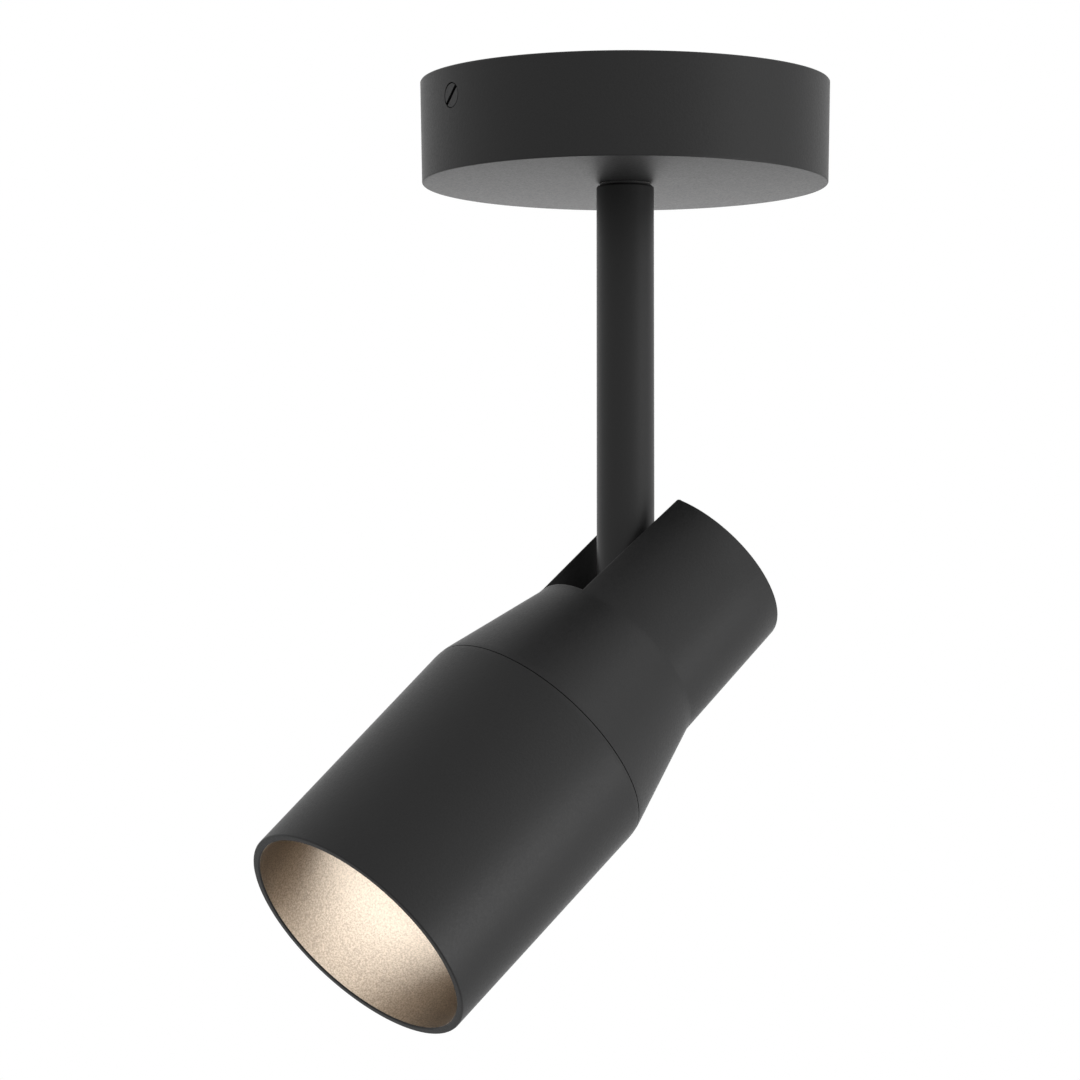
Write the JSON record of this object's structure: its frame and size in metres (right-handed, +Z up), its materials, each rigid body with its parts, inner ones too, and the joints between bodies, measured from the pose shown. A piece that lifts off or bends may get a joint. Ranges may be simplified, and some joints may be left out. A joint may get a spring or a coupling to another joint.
{
  "type": "spotlight",
  "caption": "Ceiling spotlight: round canopy, rigid stem and a slotted cylindrical head that flares to a deep barrel, tilts on the stem and holds a twist-lock reflector lamp",
  "frame": {"origin": "middle of the ceiling face of the canopy's bracket", "axes": "+Z up into the ceiling; the head points towards -Y and down; the tilt hinge runs along X"},
  "size_m": [0.1, 0.1469, 0.2314],
  "materials": {
    "black_housing": "fine matt powder coat",
    "black_stem": "satin lacquer",
    "black_screw": "blackened steel",
    "champagne": "bead-blasted, champagne anodised",
    "zinc": "zinc plated",
    "brass": "turned",
    "spring_steel": "blued spring steel",
    "block_plastic": "moulded",
    "black_nylon": "moulded",
    "white_nylon": "moulded",
    "fibre": "bonded fibre",
    "black_rubber": "moulded",
    "grey_rubber": "moulded",
    "lead_brown": "insulated wire",
    "lead_blue": "insulated wire",
    "lead_green": "insulated wire",
    "cable_sheath": "flexible sheath",
    "steatite": "steatite",
    "lamp_glass": "frosted",
    "lamp_front": "frosted"
  },
  "bodies": {
    "canopy": {"ceiling_bracket": "zinc", "cable_grommet": "grey_rubber", "canopy_cup": "black_housing", "canopy_screws": "black_screw", "terminal_block": "block_plastic", "terminal_sleeves": "brass", "terminal_screws": "zinc", "block_screw": "zinc", "earth_screw": "brass", "earth_tag": "zinc", "line_lead": "lead_brown", "neutral_lead": "lead_blue", "earth_lead": "lead_green", "swivel_bush": "white_nylon", "stop_pin": "zinc"},
    "stem": {"thrust_washer": "black_nylon", "stem_tube": "black_stem", "stem_nipple": "brass", "stop_tab": "zinc", "swivel_spring": "spring_steel", "top_washer": "zinc", "swivel_nut": "brass", "stem_cable": "cable_sheath", "stem_knuckle": "black_stem", "pivot_pins": "zinc", "grub_screws": "black_screw", "friction_washers": "fibre", "hinge_springs": "spring_steel"},
    "head": {"rear_housing": "black_housing", "cable_bush": "white_nylon", "head_cable": "cable_sheath", "lampholder_bracket": "zinc", "bracket_screws": "zinc", "lampholder": "steatite", "lampholder_screws": "zinc", "lampholder_contacts": "brass"},
    "seal": {"spigot_oring": "black_rubber"},
    "barrel": {"front_barrel": "black_housing", "reflector_liner": "champagne"},
    "lamp": {"lamp_body": "lamp_glass", "lamp_lens": "lamp_front", "lamp_pins": "zinc"}
  },
  "joints": [
    {"name": "stem_swivel", "type": "hinge", "parent": "canopy", "child": "stem", "pos_m": [0, 0, 0], "axis": [0, 0, 1], "range_deg": [-166, 166]},
    {"name": "head_tilt", "type": "hinge", "parent": "stem", "child": "head", "pos_m": [0, 0, -0.138], "axis": [-1, 0, 0], "range_deg": [-47, 36]},
    {"name": "barrel_turn", "type": "hinge", "parent": "head", "child": "seal", "pos_m": [0, 0, -0.138], "axis": [0, -0.7314, -0.682], "range_deg": [-180, 180]},
    {"name": "barrel_pull", "type": "slide", "parent": "seal", "child": "barrel", "axis": [0, -0.7314, -0.682], "range_m": [0, 0.011]},
    {"name": "lamp_twist", "type": "hinge", "parent": "head", "child": "lamp", "pos_m": [0, 0, -0.138], "axis": [0, -0.7314, -0.682], "range_deg": [0, 20]}
  ]
}
